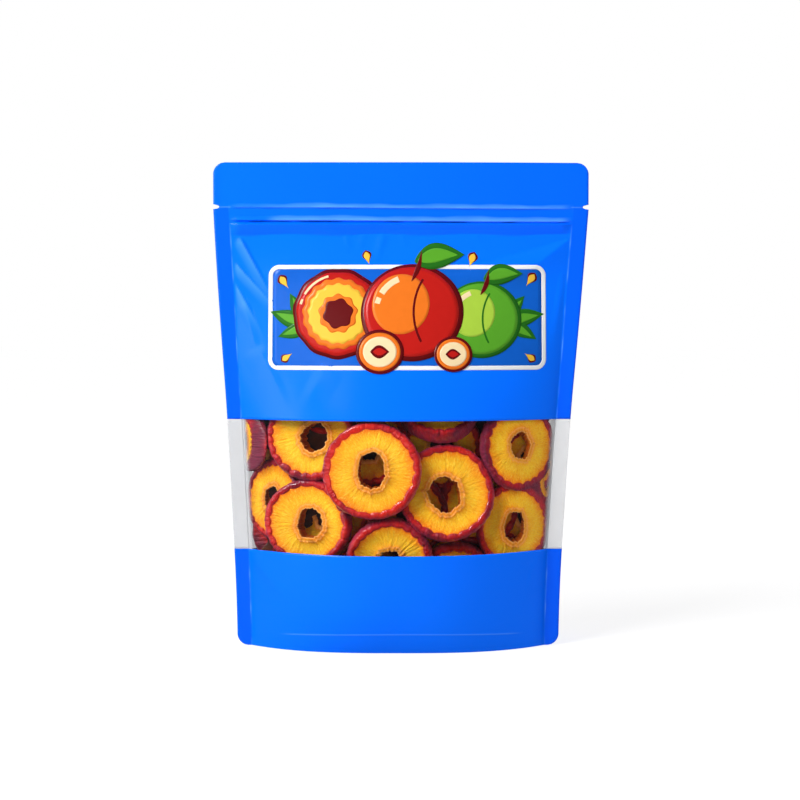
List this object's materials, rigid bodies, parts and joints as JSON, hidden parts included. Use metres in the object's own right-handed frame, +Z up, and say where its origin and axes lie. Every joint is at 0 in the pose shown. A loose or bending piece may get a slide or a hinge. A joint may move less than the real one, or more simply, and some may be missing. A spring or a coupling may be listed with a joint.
{
  "type": "dried plum slices pouch",
  "caption": "Shut stand-up pouch of dried sour plum slices, with a press zip, tear notches, side seals, a clear band that shows the slices, and an open gusset that it stands on.",
  "frame": {"origin": "centre of the bounding box's bottom face, on the surface that the pouch stands on", "axes": "+Z up along the pouch's height; the printed front faces -Y; +X runs to the right across the front"},
  "size_m": [0.16, 0.0628, 0.205],
  "materials": {
    "printed_film": "glossy blue printed film",
    "clear_film": "clear film, hazy at its seals",
    "plum_slices": "dried plum flesh with a dark red skin"
  },
  "bodies": {
    "root": {"printed_top": "printed_film", "printed_base": "printed_film", "window_film": "clear_film", "plum_slices": "plum_slices"}
  },
  "joints": []
}
